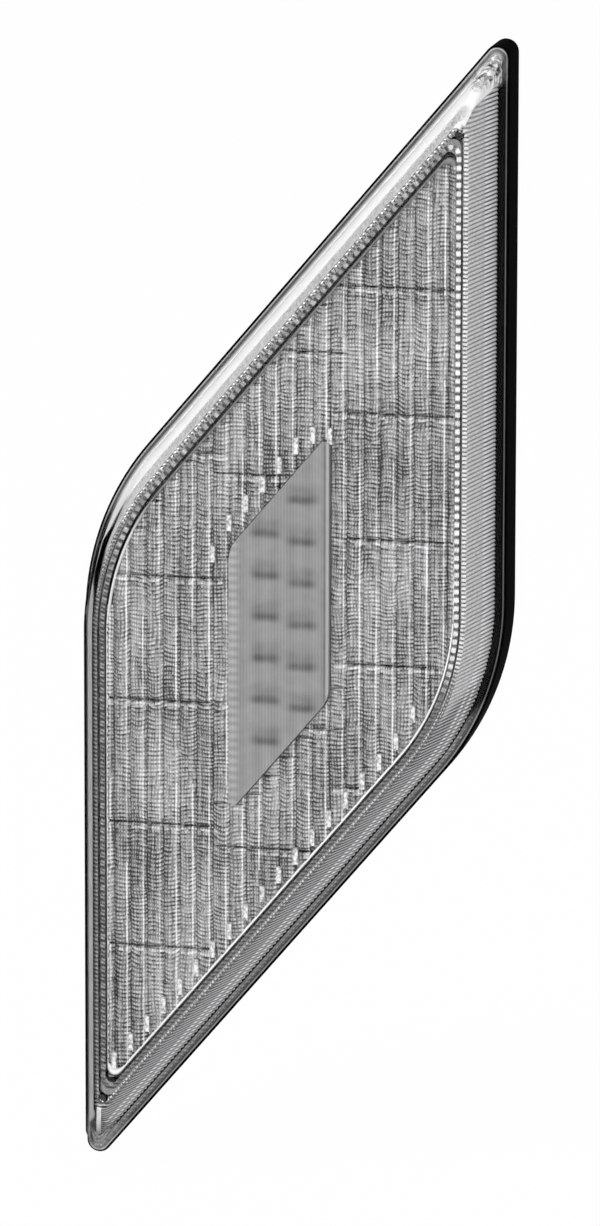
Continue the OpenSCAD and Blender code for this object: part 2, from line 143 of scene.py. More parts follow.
def end_distance():
    """Half distance between the two sloping ends, from the height over the rounded tips."""
    s = sizes()
    lean = math.radians(s.end_angle)
    half_w = s.width / 2
    top = s.height / 2 - s.tip_radius
    return (top * math.cos(lean) - (half_w - s.tip_radius) * math.sin(lean)) + s.tip_radius


def ring(inset, ends=0.0, least=LEAST_TIP):
    """The lamp's outline moved inwards by inset, and its sloping ends by a further distance."""
    s = sizes()
    tip = max(s.tip_radius - inset, least)
    half_e = end_distance() - inset - ends
    return slanted(s.width / 2 - inset, half_e, tip, s.bend_radius - inset, s.end_angle)


def inner_ring(inset, ends=0.0):
    """The outline of the strips and the panel, whose pointed corners are rounder."""
    return ring(inset, ends, sizes().corner_radius)


def rings_through(profile, outline=ring):
    """Rings of points along the outline, from a profile of insets and heights."""
    return [[fitted(x, y, h) for x, y in outline(i)] for i, h in profile]


def tip_of(points, height):
    """The foremost point of the upper pointed corner of a ring, in the lamp's frame."""
    x, y = max(points, key=lambda p: p[1] + p[0] * 0.4)
    return fitted(x, y, height)


def paced(points, pace):
    """The outline again, with points at even steps of about pace and the direction across it."""
    count = len(points)
    legs = [math.dist(points[i], points[(i + 1) % count]) for i in range(count)]
    total = sum(legs)
    steps = int(round(total / pace / 4)) * 4
    out = []
    i = 0
    done = 0.0
    for k in range(steps):
        want = total * k / steps
        while done + legs[i] < want:
            done += legs[i]
            i += 1
        a = Vector(points[i])
        b = Vector(points[(i + 1) % count])
        along = (b - a).normalized()
        out.append((a.lerp(b, (want - done) / legs[i]), Vector((-along.y, along.x))))
    return out


# Mesh building


def settle(bm):
    """Puts a mesh's points, edges and faces in an order that is the same in each run."""
    for parts, key in (
        (bm.verts, lambda v: tuple(v.co)),
        (bm.edges, lambda e: sorted(v.index for v in e.verts)),
        (bm.faces, lambda f: sorted(v.index for v in f.verts)),
    ):
        rank = {part: i for i, part in enumerate(sorted(parts, key=key))}
        parts.sort(key=rank.get)
        parts.index_update()


def piece(name, bm, look, smooth=True, replaces=None, crease=28):
    """Makes a mesh object that rides on the lamp and wears a finish. Edges past the crease stay sharp."""
    settle(bm)
    for e in bm.edges:
        if len(e.link_faces) == 2 and e.calc_face_angle(0) > math.radians(crease):
            e.smooth = False
    mesh = bpy.data.meshes.new(name)
    bm.to_mesh(mesh)
    bm.free()
    mesh.polygons.foreach_set("use_smooth", [smooth] * len(mesh.polygons))
    made = bpy.data.objects.new(name, mesh)
    bpy.context.collection.objects.link(made)
    mesh.materials.append(look)
    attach(made, "root")
    if replaces:
        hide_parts(replaces)
    return made


def pulled(bm, rings, closed_profile=False, cap_end=False):
    """Starts from the first ring's edges and extrudes them from ring to ring. Rings are lists of points."""
    place = bm.verts.layers.int.get("place") or bm.verts.layers.int.new("place")
    uv = bm.loops.layers.uv.verify()
    count = len(rings[0])
    first = [bm.verts.new(p) for p in rings[0]]
    for i, v in enumerate(first):
        v[place] = i
    edges = [bm.edges.new((first[i], first[(i + 1) % count])) for i in range(count)]
    start = list(edges)
    for k, points in enumerate(rings[1:]):
        made = bmesh.ops.extrude_edge_only(bm, edges=edges)["geom"]
        for v in made:
            if isinstance(v, bmesh.types.BMVert):
                v.co = points[v[place]]
        faces = [f for f in made if isinstance(f, bmesh.types.BMFace)]
        edges = [
            e
            for e in made
            if isinstance(e, bmesh.types.BMEdge)
            and all(v.co == Vector(points[v[place]]) for v in e.verts)
            and len(e.link_faces) == 1
        ]
        for f in faces:
            seam = any(loop.vert[place] == 0 for loop in f.loops) and any(
                loop.vert[place] == count - 1 for loop in f.loops
            )
            for loop in f.loops:
                i = loop.vert[place]
                u = count if seam and i == 0 else i
                v = k + 1 if loop.vert.co == Vector(points[i]) else k
                loop[uv].uv = (u / count, v)
    if closed_profile:
        bmesh.ops.bridge_loops(bm, edges=start + edges)
    if cap_end:
        bmesh.ops.contextual_create(bm, geom=edges)


def skin(rings):
    """An open skin through rings of points."""
    bm = bmesh.new()
    pulled(bm, rings)
    bmesh.ops.recalc_face_normals(bm, faces=bm.faces)
    return bm


def face_outwards(bm):
    """Turns a skin's faces away from the lamp's middle."""
    if sum(f.normal.x * f.calc_center_median().x for f in bm.faces) < 0:
        bmesh.ops.reverse_faces(bm, faces=bm.faces)


def face_forwards(bm):
    """Turns a skin's faces to the front."""
    if sum(f.normal.y for f in bm.faces) > 0:
        bmesh.ops.reverse_faces(bm, faces=bm.faces)


def swept(profile, closed_profile=False, caps=False, outline=ring):
    """A ring-shaped solid along the outline: its profile is closed, or its two open ends are capped."""
    bm = bmesh.new()
    pulled(bm, rings_through(profile, outline), closed_profile, cap_end=caps)
    if caps:
        open_edges = [e for e in bm.edges if e.is_boundary]
        bmesh.ops.contextual_create(bm, geom=open_edges)
    bmesh.ops.recalc_face_normals(bm, faces=bm.faces)
    return bm


def leaning(inset, foot, lean, top, radius, steps=10):
    """A side that leans inwards and rounds over into its front, as insets and heights."""
    slope = math.atan2(top - foot, lean)
    middle = inset + lean + radius * math.tan(slope / 2)
    turns = [slope * (1 - i / steps) for i in range(steps + 1)]
    start = (middle - radius * math.sin(slope), top - radius + radius * math.cos(slope))
    share = 0.03
    near = (start[0] + (inset - start[0]) * share, start[1] + (foot - start[1]) * share)
    return [(inset, foot), near] + [
        (middle - radius * math.sin(t), top - radius + radius * math.cos(t)) for t in turns
    ]


# Finishes


class Link:
    """A node's output, with the operators that add Math nodes."""

    def __init__(self, finish, socket):
        self.finish = finish
        self.socket = socket

    def math(self, operation, *values):
        return self.finish.node("ShaderNodeMath", {"operation": operation}, dict(enumerate(values)))

    def __rsub__(self, other):
        return self.math("SUBTRACT", other, self)

    def held(self):
        """Kept between 0 and 1."""
        return self.math("MINIMUM", self.math("MAXIMUM", self, 0.0), 1.0)

    def ramp(self, low, high):
        """0 at low, 1 at high, smooth between."""
        values = {"Value": self, "From Min": low, "From Max": high}
        return self.finish.node("ShaderNodeMapRange", {"interpolation_type": "SMOOTHSTEP"}, values)

    def near(self, value, width):
        """1 at value, falling to 0 at width away from it."""
        return (self - value).abs().ramp(width, 0.0)


def math_method(operation):
    return lambda self, *others: self.math(operation, self, *others)


for method, kind in (
    ("__add__", "ADD"),
    ("__radd__", "ADD"),
    ("__sub__", "SUBTRACT"),
    ("__mul__", "MULTIPLY"),
    ("__rmul__", "MULTIPLY"),
    ("__truediv__", "DIVIDE"),
    ("__pow__", "POWER"),
    ("__mod__", "FLOORED_MODULO"),
    ("__gt__", "GREATER_THAN"),
    ("__lt__", "LESS_THAN"),
    ("floor", "FLOOR"),
    ("abs", "ABSOLUTE"),
    ("sin", "SINE"),
):
    setattr(Link, method, math_method(kind))


class Finish:
    """A material: its shader's steady values, and the nodes that vary over the surface."""

    def __init__(self, name, **steady):
        self.material = bpy.data.materials.new(name)
        self.material.use_nodes = True
        self.tree = self.material.node_tree
        self.shader = self.tree.nodes["Principled BSDF"]
        self.set(**steady)

    def set(self, **steady):
        for socket, value in steady.items():
            self.shader.inputs[socket.replace("_", " ")].default_value = value

    def node(self, kind, settings=None, values=None, out=0):
        """Adds a node with its settings and its inputs, steady or linked."""
        made = self.tree.nodes.new(kind)
        for name, value in (settings or {}).items():
            setattr(made, name, value)
        for name, value in (values or {}).items():
            if isinstance(value, Link):
                self.tree.links.new(value.socket, made.inputs[name])
            else:
                made.inputs[name].default_value = value
        return Link(self, made.outputs[out])

    def feed(self, socket, link):
        self.tree.links.new(link.socket, self.shader.inputs[socket])

    def split(self, vector):
        made = self.tree.nodes.new("ShaderNodeSeparateXYZ")
        self.tree.links.new(vector.socket, made.inputs[0])
        return [Link(self, o) for o in made.outputs]

    def where(self):
        """Object coordinates in millimetres, as a vector."""
        here = self.node("ShaderNodeTexCoord", out="Object")
        return self.node("ShaderNodeVectorMath", {"operation": "SCALE"}, {"Vector": here, "Scale": 1 / MM})

    def place(self):
        """Object coordinates in millimetres, as a vector and as its three parts."""
        here = self.where()
        return (here, *self.split(here))

    def map(self):
        """The two parts of a strip's own map."""
        return self.split(self.node("ShaderNodeUVMap", {"uv_map": "run"}))[:2]

    def normal(self):
        """The surface's direction, as three links."""
        return self.split(self.node("ShaderNodeNewGeometry", out="Normal"))

    def vector(self, x, y, z):
        return self.node("ShaderNodeCombineXYZ", None, {0: x, 1: y, 2: z})

    def noise(self, vector, scale, detail=2.0, rough=0.5):
        values = {"Vector": vector, "Scale": scale, "Detail": detail, "Roughness": rough}
        return self.node("ShaderNodeTexNoise", {"noise_dimensions": "3D"}, values)

    def chance(self, vector):
        """A steady random number for each whole step of the vector."""
        return self.node("ShaderNodeTexWhiteNoise", {"noise_dimensions": "3D"}, {"Vector": vector})

    def mix(self, share, first, second):
        values = {0: share, 6: self.rgb(first), 7: self.rgb(second)}
        return self.node("ShaderNodeMix", {"data_type": "RGBA"}, values, out=2)

    def shade(self, share, dark, light):
        """Base colour between two greys."""
        self.feed("Base Color", self.mix(share, grey(dark), grey(light)))

    def rgb(self, colour):
        return colour if isinstance(colour, Link) else (*tuple(colour)[:3], 1)

    def bump(self, height, distance, strength=1.0):
        values = {"Height": height, "Distance": distance, "Strength": strength}
        self.feed("Normal", self.node("ShaderNodeBump", None, values))


def grey(value):
    return (value, value, value)


def at_points(z):
    """1 at the lamp's upper and lower point."""
    return z.abs().ramp(126.5, 129.5)


def slant_of(x, z):
    """Distance from the lamp's middle towards its upper sloping end, in millimetres."""
    return z * END_COS - x * END_SIN


def times(colour, factor):
    return [min(c * factor, 1.0) for c in colour]


def ribs(position, pitch):
    """A wave from 0 to 1 along position, one for each pitch."""
    return (position * (2 * math.pi / pitch)).sin() * 0.5 + 0.5


def moulded_black(name, colour, grain=0.9, roughness=0.5):
    """Black moulded plastic with a fine spark-eroded grain and dust in it, lighter where it faces backwards."""
    f = Finish(name, IOR=1.03, Specular_IOR_Level=0.1)
    here = f.where()
    fine = f.noise(here, grain, 4.0, 0.6)
    broad = f.noise(here, 0.05, 3.0)
    tone = (fine * 0.5 + broad * 0.5).ramp(0.35, 0.75)
    behind = f.normal()[1].ramp(0.3, 0.9)
    front = f.mix(tone, times(colour, 0.6), times(colour, 1.7))
    f.feed("Base Color", f.mix(behind, front, f.mix(tone, times(colour, 4), times(colour, 10))))
    f.feed("Roughness", roughness - 0.12 + broad * 0.16 + fine * 0.12)
    f.bump(fine, 0.0001, 0.5)
    return f.material


def bright_metal(name, colour, scale=1.0, roughness=0.2):
    """Vacuum metallised surface with faint moulding flow and fine pits."""
    f = Finish(name, Metallic=1.0)
    here = f.where()
    broad = f.noise(here, 0.08 * scale, 3.0)
    fine = f.noise(here, 3.0 * scale, 3.0)
    f.feed("Base Color", f.mix(broad * 0.6 + fine * 0.4, times(colour, 0.8), times(colour, 1.15)))
    f.feed("Roughness", roughness + fine * 0.15)
    f.bump(fine, 0.00003, 0.4)
    return f.material


def clear_plastic():
    """Clear cover: polished, with faint moulding flow. It hardly bends light, so no ray is caught in its side."""
    f = Finish("clear_cover_plastic", Transmission_Weight=1.0, IOR=1.001)
    f.set(Coat_Weight=0.05, Coat_IOR=1.45, Coat_Roughness=0.02)
    flow = f.noise(f.where(), 0.35, 2.0)
    f.feed("Base Color", f.mix(flow, (0.97, 0.975, 0.98), (0.99, 0.99, 0.99)))
    f.feed("Roughness", flow * 0.02)
    return f.material


def bezel_metal(name):
    """Ribbed bezel with painted light: painted white on the upper slope, grey ribs with painted glints on the
    lower one, black and white ribs on the right, each rib painted light on its crest and dark between crests.
    """
    f = Finish(name, IOR=1.01)
    _, x, y, z = f.place()
    slant = slant_of(x, z)
    upper = slant.ramp(42.0, 44.5) * (slant - x).ramp(0.2, 1.4)
    lower = (-1.0 * slant).ramp(42.5, 44.5) * (x - slant).ramp(0.2, 1.4)
    left = x.ramp(-43.5, -44.5) * (1.0 - upper) * (1.0 - lower)
    # painted shade and highlight: each rib is painted light on its crest and dark between crests
    painted_rib_shading = ribs(z, 1.0)
    height = -1.0 * y
    outer = height.ramp(19.2, 17.4)
    spark = f.noise(f.vector(x * 2.4, y * 1.2, z * 5.0), 1.0, 2.0)
    # painted glints on the ribs of the lower slope
    painted_glints = ribs(height + 0.6, 3.6) ** 2.0 * ribs(z, 1.0) * height.ramp(20.5, 19.5) * lower
    # painted light: the upper slope is painted white as if lit, and the lower slope and the left side are painted
    # darker as if shaded. The strength of the painted rib shading is set for each slope
    deep = 0.42 + outer * 0.75 - upper * (0.30 + outer * 0.6) + lower * (0.28 - outer * 0.9) + left * 0.2
    level = 0.44 + outer * 0.05 + upper * 0.58 - lower * (0.30 - outer * 0.02) - left * 0.25
    # painted sparkle, weaker on the sloping ends
    painted_sparkle = (spark - 0.5) * (0.5 - upper * 0.4 - lower * 0.2)
    tone = level + (painted_rib_shading - 0.5) * deep + painted_glints * 0.55 + painted_sparkle
    f.shade(tone.held(), 0.02, 0.98)
    f.feed("Metallic", (0.25 * (1.0 - lower) + upper * 0.55).held())
    f.feed("Roughness", 0.18 + spark * 0.25)
    return f.material


def wall_sheen():
    """Painted light in the cover's side wall: painted grey on the left, a painted white highlight at the upper
    left, and painted swirled reflections at the points.
    """
    f = Finish("cover_wall_painted_sheen", IOR=1.05)
    _, x, y, z = f.place()
    height = -1.0 * y
    slant = slant_of(x, z)
    upper = slant.ramp(44.0, 44.8)
    lower = (-1.0 * slant).ramp(44.0, 44.8)
    left = x.ramp(-44.0, -44.8) * (1.0 - upper) * (1.0 - lower)
    tips = at_points(z)
    flow = f.noise(f.vector(x * 0.3, y * 0.5, z * 0.3), 1.0, 2.0)
    streak = f.noise(f.vector(x * 0.9 + flow * 5.0, y * 0.6, z * 0.5 + flow * 7.0), 1.0, 3.0)
    swirl = streak.ramp(0.36, 0.66)
    hatch = ribs(z + x * 0.35, 1.0)
    # painted white highlight with faint hatching on the upper left, painted grey on the left, a little darker on
    # the lower sloping end
    tone = 0.31 + (flow - 0.5) * 0.10 + upper * (0.75 + hatch * 0.12) - lower * 0.12
    # painted swirled reflections at the points
    tone = tone * (1.0 - tips) + tips * (0.08 + swirl * (0.30 + z.ramp(0.0, 60.0) * 0.42))
    f.shade(tone.held(), 0.02, 0.96)
    f.feed("Roughness", 0.25 + flow * 0.2)
    fade = height.ramp(14.5, 19.0) * height.ramp(29.6, 28.2)
    # how much of the painted light covers what lies behind it
    cover = left * 0.97 + upper * fade * 0.62
    cover = cover * (1.0 - tips) + tips * (0.45 + swirl * 0.5)
    f.feed("Alpha", cover.held())
    return f.material


def foot_light():
    """The cover's flange on the housing, with painted light: a painted highlight line at its edge, a pale painted
    shine on the upper left and painted glints low on the right.
    """
    f = Finish("cover_foot_painted_sheen", IOR=1.05)
    here, x, _, z = f.place()
    v = f.map()[1]
    slant = slant_of(x, z)
    upper = slant.ramp(47.0, 49.0)
    lower = (-1.0 * slant).ramp(47.0, 49.0)
    tips = at_points(z)
    flow = f.noise(here, 0.6, 3.0)
    # painted highlight line along the flange's outer edge
    line = v.ramp(1.25, 0.95)
    # painted shine, rising to white on the upper left
    rise = v.ramp(2.7, 4.0)
    tone = line * (0.16 + upper * 0.14 + lower * 0.10)
    tone = tone + upper * (0.10 + rise * 0.75) + lower * (0.10 + rise * 0.18)
    # painted glints on the lower sloping end
    sparkle = ribs(slant, 0.55) * ribs(z, 1.0) * f.noise(here, 1.5, 2.0).ramp(0.35, 0.6)
    tone = tone + lower * v.ramp(2.4, 3.0) * sparkle * 0.5
    tone = tone * v.ramp(0.15, 0.5) + tips * (flow - 0.25) * 0.34
    f.shade(tone.held(), 0.004, 1.0)
    f.feed("Roughness", 0.3 + flow * 0.2)
    return f.material


def bead_metal(name, low, high, right, painted_glints):
    """Flat strip of beads with painted light: painted bright down the right side and painted shade elsewhere,
    darkest on the lower sloping end, with painted teeth of light and shade on the left side and painted glints
    along the lower end's inner edge. Its map counts the beads along it.
    """
    f = Finish(name, Metallic=0.4)
    _, x, y, z = f.place()
    u, v = f.map()
    grain = f.noise(f.vector(x * 2.0, y * 2.0, z * 2.0), 1.0, 3.0)
    lone = f.chance(f.vector(u.floor(), 0.0, 0.0))
    bead = ((u % 1.0) - 0.5).abs().ramp(0.42, 0.14)
    # painted highlight down the right side
    glow = x.ramp(right - 3.0, right)
    low_side = (-1.0 * slant_of(x, z)).ramp(36.0, 42.0) * (1.0 - glow)
    left_side = x.ramp(-37.0, -42.0) * (1.0 - low_side)
    inner_edge = v.ramp(2.4, 3.0) * bead
    level = bead * (0.22 + lone * 0.3 + glow * 0.45) + (grain - 0.5) * 0.5 + glow * 0.10
    # painted shade on the lower sloping end and on the left side
    level = level * (1.0 - low_side) * (1.0 - left_side * 0.45)
    # painted teeth of light and shade on the left side
    level = level + left_side * (ribs(z + x * 0.4, 1.0) - 0.55) * 0.34
    # faint painted ribs and painted glints along the inner edge of the lower sloping end
    level = level + low_side * (ribs(z, 1.0) * 0.16 + inner_edge * painted_glints * (0.3 + lone * 0.6))
    f.feed("Base Color", f.mix(level.held(), grey(low), grey(high)))
    f.feed("Roughness", 0.15 + grain * 0.2)
    return f.material


def line_metal():
    """Polished chamfer round the panel, with a painted highlight brightest low on the right and on the left side.
    """
    f = Finish("chamfer_metal", Metallic=0.15)
    here, x, _, z = f.place()
    grain = f.noise(here, 1.6, 3.0)
    low = (-1.0 * slant_of(x, z)).ramp(10.0, 30.0)
    left = x.ramp(-30.0, -38.0)
    # painted highlight low on the right and on the left side
    lit = (low + left).held()
    tone = (0.22 + lit * 0.85 + (grain - 0.5) * 0.35).held()
    f.shade(tone, 0.06, 1.0)
    f.feed("Roughness", 0.12 + grain * 0.12)
    return f.material


def panel_metal():
    """Pillowed reflector: dark joints, a painted highlight line in each flute, dashes on its rows and other
    painted sparkle.
    """
    s = sizes()
    f = Finish("reflector_pillow_metal", Metallic=0.55)
    _, x, _, z = f.place()
    flute = x / s.flute_pitch
    across = flute % 1.0
    column = flute.floor()
    sway = f.chance(f.vector(column, 3.0, (z * 0.09).floor())) - 0.5
    wander = f.noise(f.vector(x * 0.12, 0.0, z * 0.06), 1.0, 1.0)
    curve = (across - 0.5) ** 2.0 * 4.5 * sway + wander * 3.0
    row = z / s.row_pitch + curve * 0.5 + f.chance(f.vector(column, 5.0, 0.0)) * 0.5
    dashes = ribs(row, 0.5)
    beads = ribs(x + wander * 4.0, 0.72)
    lone = f.chance(f.vector(x.floor(), 1.0, (row * 2.0).floor()))
    patch = f.noise(f.vector(x * 0.5, 0.0, z * 0.16), 1.0, 3.0)
    grain = f.noise(f.vector(x * 2.6, 0.0, z * 3.4), 1.0, 3.0, 0.7)
    streak = f.noise(f.vector(x * 1.3, 0.0, z * 0.04), 1.0, 2.0)
    broad = f.noise(f.vector(x * 0.07, 0.0, z * 0.04), 1.0, 2.0)
    gleam = f.chance(f.vector(column, 7.0, (z * 0.05).floor()))
    joint = (across - 0.5).abs().ramp(0.43, 0.50)
    # painted highlight along one flank of each flute
    line = across.near(0.78, 0.08) * (0.15 + gleam * 0.5)
    beside = s.window_width / 2 + 0.45
    side = (x - beside) > 0.0
    left = (x + beside) < 0.0
    shift = side * (s.steps_right - s.steps_middle) + left * (s.steps_left - s.steps_middle) + s.steps_middle
    step = ((z - shift) / s.step_pitch + 0.5) % 1.0
    band = step.near(0.5, 0.035) + step.near(0.42, 0.025) * 0.6
    below = step.near(0.46, 0.03) * (lone > 0.5)
    # painted glints and reflections: the dashes, beads and streaks stand for the light and dark that the
    # metallised facets reflect
    tone = (
        0.28
        + (grain - 0.5) * 0.95
        + (dashes - 0.5) * (patch.ramp(0.40, 0.62) * 0.30)
        + (dashes * beads - 0.25) * 0.34
        + (lone - 0.5) * 0.20
        + line
        + (streak - 0.5) * 0.75
        + (broad - 0.5) * 0.55
        - joint * 0.16
        - band * 0.13
        + below * 0.22
    ).held()
    f.shade(tone, 0.05, 0.98)
    f.feed("Roughness", 0.22 + grain * 0.3)
    return f.material


def window_frost():
    """Frosted window: a fine grid, faint arcs, and a soft dark spot of painted shade in front of each light
    diode.
    """
    s = sizes()
    f = Finish("window_frosted_plastic", Roughness=0.32)
    _, x, _, z = f.place()
    grid = ribs(x, 0.75) * 0.7 + ribs(z, 0.5) * 0.3
    arcs = ribs(z + ((x - 1.0) * 0.2) ** 2.0, 3.1)
    # painted shade: a soft dark spot, with a fainter veil above it, where each light diode sits behind the
    # frosted plastic
    spots = 0.0
    # middle of a column of diodes, height of its first spot, lower and upper end
    for middle, shift, low, high in ((-3.2, 1.6, -33.4, 26.6), (5.7, 0.0, -25.0, 35.0)):
        up = ((z - shift) / s.diode_pitch + 0.5) % 1.0
        inside = (z > low) * (z < high)
        spot = (x - middle).abs().ramp(4.9, 1.6) * (up - 0.5).abs().ramp(0.17, 0.0)
        veil = (x - middle).abs().ramp(5.6, 1.5) * (up - 0.68).abs().ramp(0.34, 0.02)
        spots = (spot * 0.34 + veil * 0.20) * inside + spots
    wide = ribs(x, s.flute_pitch)
    soft = f.noise(f.vector(x * 0.25, 0.0, z * 0.25), 1.0, 3.0)
    faint = f.noise(f.vector(x * 0.3, 0.0, z * 0.08), 1.0, 2.0)
    half = s.window_width / 2
    rim_line = x.near(half - 0.35, 0.45)
    rim_dark = x.near(half - 1.1, 0.5)
    left = (x + half).near(0.8, 2.6) * ribs(z, 2.0)
    tone = (
        0.55
        + (grid - 0.5) * 0.24
        + (arcs - 0.5) * 0.05 * faint
        + (wide - 0.5) * 0.10
        + (soft - 0.5) * 0.30
        + rim_line * 0.5
        - rim_dark * 0.25
        + left * 0.35
        - spots
    ).held()
    f.shade(tone, 0.08, 0.44)
    f.feed("Roughness", 0.28 + soft * 0.2)
    f.bump(grid, 0.00005, 0.4)
    return f.material


def foam():
    """Closed-cell foam: small cells, some burst open."""
    f = Finish("gasket_closed_foam")
    here = f.where()
    cells = f.node("ShaderNodeTexVoronoi", None, {"Vector": here, "Scale": 1.6})
    dust = f.noise(here, 0.3, 3.0)
    f.shade((cells + dust * 0.5).held(), 0.008, 0.045)
    f.feed("Roughness", 0.75 + dust * 0.2)
    f.bump(cells, 0.0003, 0.7)
    return f.material


def turned(name, colour, axis, roughness=0.28):
    """Turned or plated metal: fine tool lines along one axis, stains and worn edges."""
    f = Finish(name, Metallic=1.0)
    here = f.where()
    lines = ribs(f.split(here)[axis], 0.22)
    stain = f.noise(here, 0.7, 4.0)
    tone = lines * 0.35 + stain * 0.65
    f.feed("Base Color", f.mix(tone, times(colour, 0.6), times(colour, 1.25)))
    f.feed("Roughness", roughness + stain * 0.2)
    f.bump(lines, 0.00003, 0.5)
    return f.material


def bead_of_sealant():
    """Sealant bead: smooth with drag marks and small bubbles."""
    f = Finish("sealant_bead")
    here, x, _, z = f.place()
    drag = f.noise(f.vector(x * 0.2, 0.0, z * 1.2), 1.0, 3.0)
    bubbles = f.node("ShaderNodeTexVoronoi", None, {"Vector": here, "Scale": 0.9}).ramp(0.0, 0.25)
    f.shade(drag * bubbles, 0.015, 0.08)
    f.feed("Roughness", 0.3 + drag * 0.3)
    f.bump(bubbles * 0.5 + drag * 0.5, 0.0002, 0.6)
    return f.material


def white_board():
    """White solder mask over copper lands, with bare aluminium on the edge and the back."""
    f = Finish("board_solder_mask")
    here, x, _, z = f.place()
    front = (-1.0 * f.normal()[1]).ramp(0.7, 0.9)
    layout = {"Scale": 1.0, "Mortar Size": 0.35, "Brick Width": 9.0, "Row Height": 5.0}
    lands = f.node("ShaderNodeTexBrick", None, {"Vector": f.vector(x, z, 0.0), **layout}, out="Fac")
    weave = f.noise(here, 2.2, 3.0)
    mask = f.mix((lands * 0.7 + weave * 0.3).held(), (0.80, 0.80, 0.77), (0.55, 0.56, 0.53))
    f.feed("Base Color", f.mix(front, grey(0.5), mask))
    f.feed("Metallic", (1.0 - front).held())
    f.feed("Roughness", 0.25 + weave * 0.25)
    f.bump(lands, 0.00004, 0.6)
    return f.material


def moulded_package(name, ends_axis, share=0.75):
    """Epoxy or glazed package, with bright tinned ends where it faces along one axis."""
    f = Finish(name)
    here = f.where()
    facing = f.normal()[ends_axis].abs().ramp(share, share + 0.2)
    fine = f.noise(here, 4.0, 4.0)
    flow = f.noise(here, 0.8, 2.0)
    body = f.mix(fine * 0.6 + flow * 0.4, grey(0.012), grey(0.045))
    f.feed("Base Color", f.mix(facing, body, grey(0.7)))
    f.feed("Metallic", facing)
    f.feed("Roughness", 0.3 + fine * 0.3)
    f.bump(fine, 0.00003, 0.5)
    return f.material


def film():
    """Expanded film of the breather: white fibres between small knots."""
    f = Finish("membrane_film")
    here = f.where()
    fibres = f.node("ShaderNodeTexVoronoi", {"feature": "DISTANCE_TO_EDGE"}, {"Vector": here, "Scale": 5.0})
    knots = f.noise(here, 2.0, 4.0)
    f.shade((fibres.ramp(0.0, 0.2) * 0.6 + knots * 0.4).held(), 0.62, 0.86)
    f.feed("Roughness", 0.7 + knots * 0.25)
    f.bump(fibres, 0.00005, 0.6)
    return f.material


def diode_dome():
    """Light diode: white body, and a dome with a warm phosphor patch that fades to its edge."""
    f = Finish("diode_body")
    here, _, y, _ = f.place()
    dome = (-1.0 * y).ramp(9.0, 9.5)
    grain = f.noise(here, 3.0, 3.0)
    warm = f.mix(grain, (0.75, 0.46, 0.06), (0.90, 0.66, 0.16))
    f.feed("Base Color", f.mix(dome, f.mix(grain, grey(0.70), grey(0.82)), warm))
    f.feed("Roughness", (0.45 - dome * 0.33 + grain * 0.1).held())
    f.bump(grain, 0.00002, 0.3)
    return f.material


def dress(start, look):
    """Gives a finish to the node of this name, or to all that start with it if it ends in an underscore."""
    for node in sorted(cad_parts):
        if node == start or start.endswith("_") and node.startswith(start):
            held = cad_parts[node]
            held.data.materials.clear()
            held.data.materials.append(look)


# Pieces


def under_cover():
    """Height of the inside of the cover's front above the mounting face."""
    s = sizes()
    return s.rim + s.cover_rise - s.cover_wall


def strip_height():
    """Height of the two beaded strips."""
    return under_cover() - STRIP_GAP


def floor_height():
    """Height of the reflector's floor."""
    return strip_height() - sizes().floor_recess


def wall_inside():
    """From the outline to the inside of the cover's side wall."""
    return COVER_INSET + sizes().cover_wall


def make_cover():
    """The clear cover, from the inside of its front down its tongue and up its outside."""
    s = sizes()
    wall_in = wall_inside()
    flange = s.rim + 0.9
    tongue_in, tongue_end = 1.5, s.rim - 2.6
    edge, chamfer = 0.3, 0.1
    outside = leaning(COVER_INSET, flange, COVER_LEAN, s.rim + s.cover_rise, 2.2, 14)
    inside = leaning(wall_in, s.rim, 3.4, under_cover(), 0.7, 8)
    profile = inside[::-1]
    profile += [(wall_in, tongue_end), (tongue_in, tongue_end), (tongue_in, s.rim)]
    profile += [(edge + chamfer / 2, s.rim), (edge, s.rim + chamfer / 2)]
    profile += [(edge, flange - chamfer), (edge + chamfer, flange)] + outside
    bm = swept(profile, caps=True)
    piece("clear_cover", bm, clear_plastic(), replaces="outer_cover")


def ribbed(bm, pitch, depth):
    """Cuts a skin at every half pitch of height and presses every second cut in, as V ribs."""
    settle(bm)
    low = min(v.co.z for v in bm.verts)
    high = max(v.co.z for v in bm.verts)
    half = pitch * MM / 2
    for k in range(math.ceil(low / half), math.floor(high / half) + 1):
        geom = bm.verts[:] + bm.edges[:] + bm.faces[:]
        bmesh.ops.bisect_plane(bm, geom=geom, plane_co=(0, 0, k * half), plane_no=(0, 0, 1), dist=1e-7)
    bm.normal_update()
    moves = []
    for v in bm.verts:
        step = v.co.z / half
        if round(step) % 2 and abs(step - round(step)) < 0.01:
            moves.append((v, -v.normal * depth(-v.co.y / MM) * MM))
    for v, move in moves:
        v.co += move


def rib_depth(height):
    """The ribs are deeper on the lower part of the slope."""
    return 0.34 if height < 18.6 else 0.20


